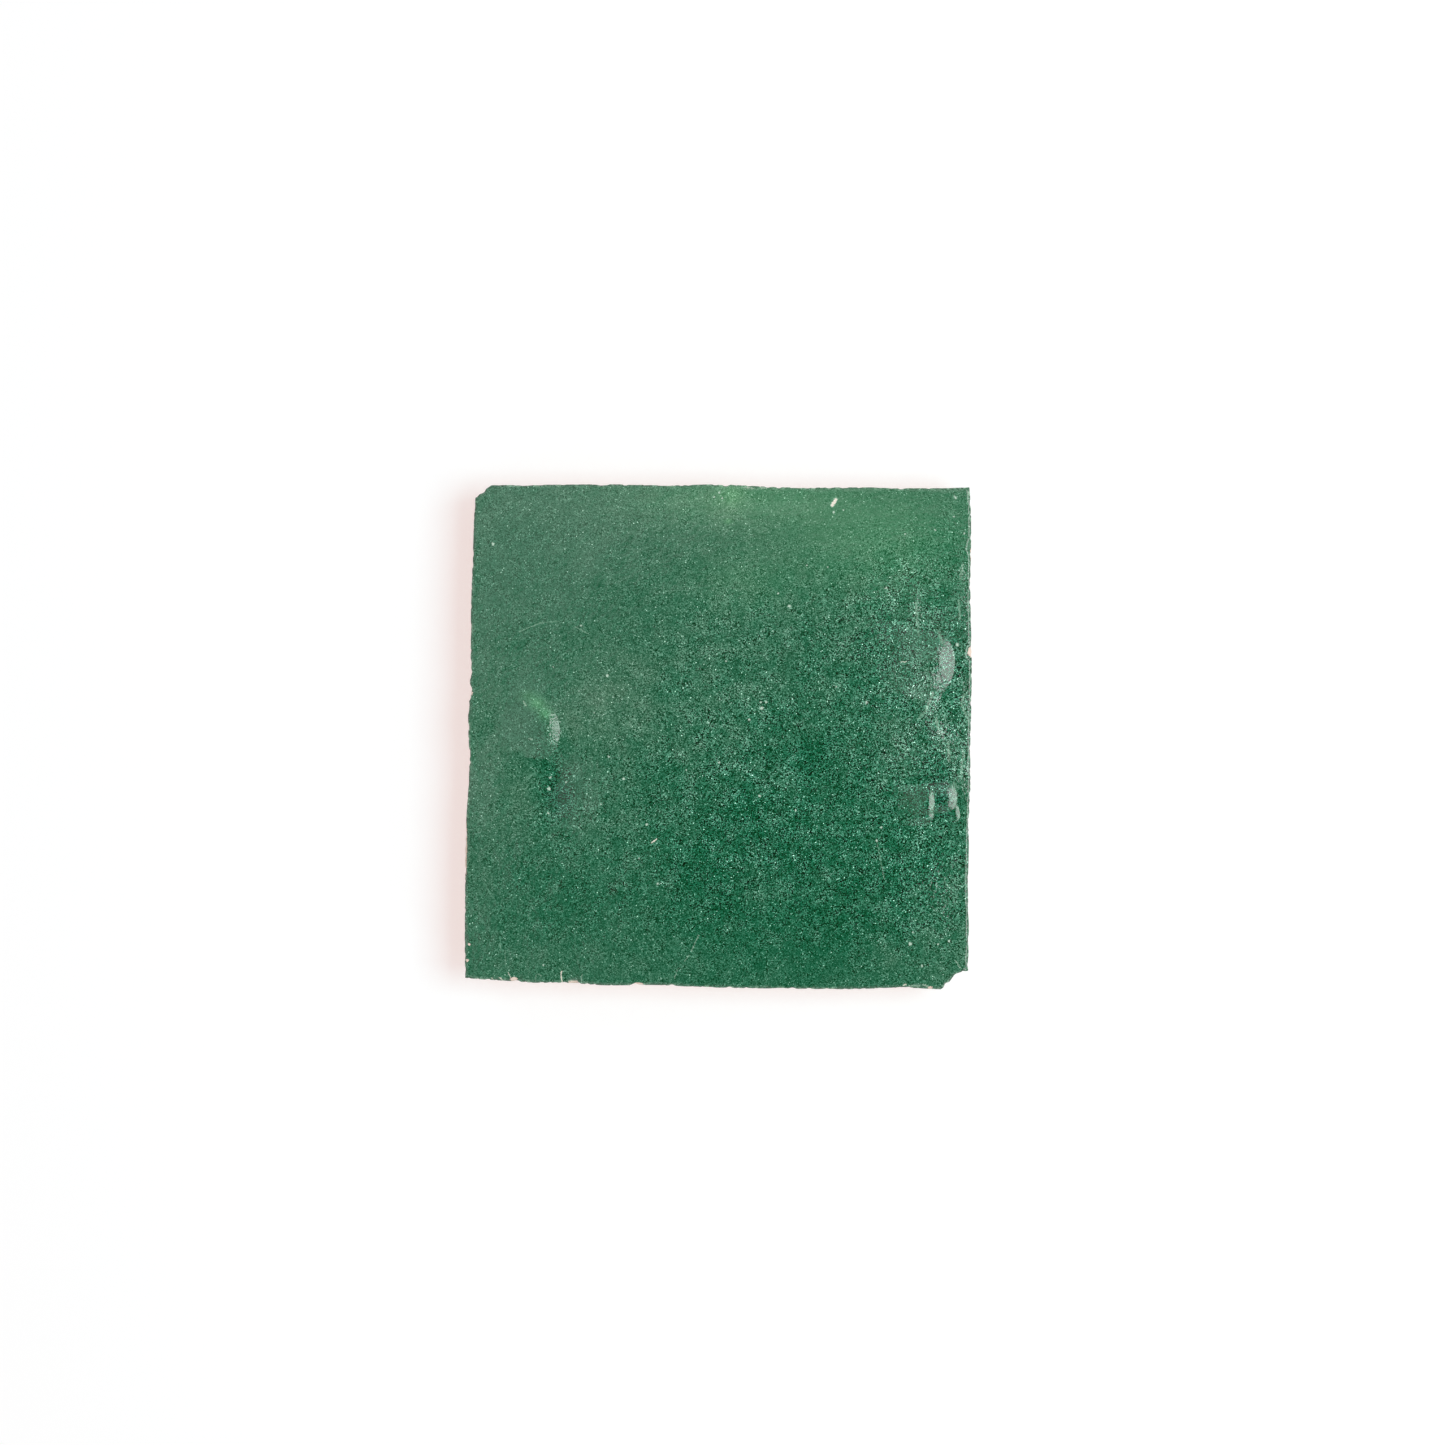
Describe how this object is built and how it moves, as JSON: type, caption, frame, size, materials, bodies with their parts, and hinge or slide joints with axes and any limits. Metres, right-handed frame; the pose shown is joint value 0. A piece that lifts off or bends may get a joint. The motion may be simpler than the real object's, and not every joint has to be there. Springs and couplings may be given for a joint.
{
  "type": "zellige tile",
  "caption": "Square hand-cut glazed clay tile with a wavy glossy face, uneven chipped rim and chiselled undercut flanks, for walls and floors.",
  "frame": {"origin": "on the surface that the tile lies on, under the middle of its box", "axes": "+Z out of the glazed face, +X to the right across the face, +Y up the face towards the edge with the struck-off corner"},
  "size_m": [0.1014, 0.101, 0.0111],
  "materials": {
    "glazed_clay": "gloss"
  },
  "bodies": {
    "root": {"zellige_tile": "glazed_clay"}
  },
  "joints": []
}
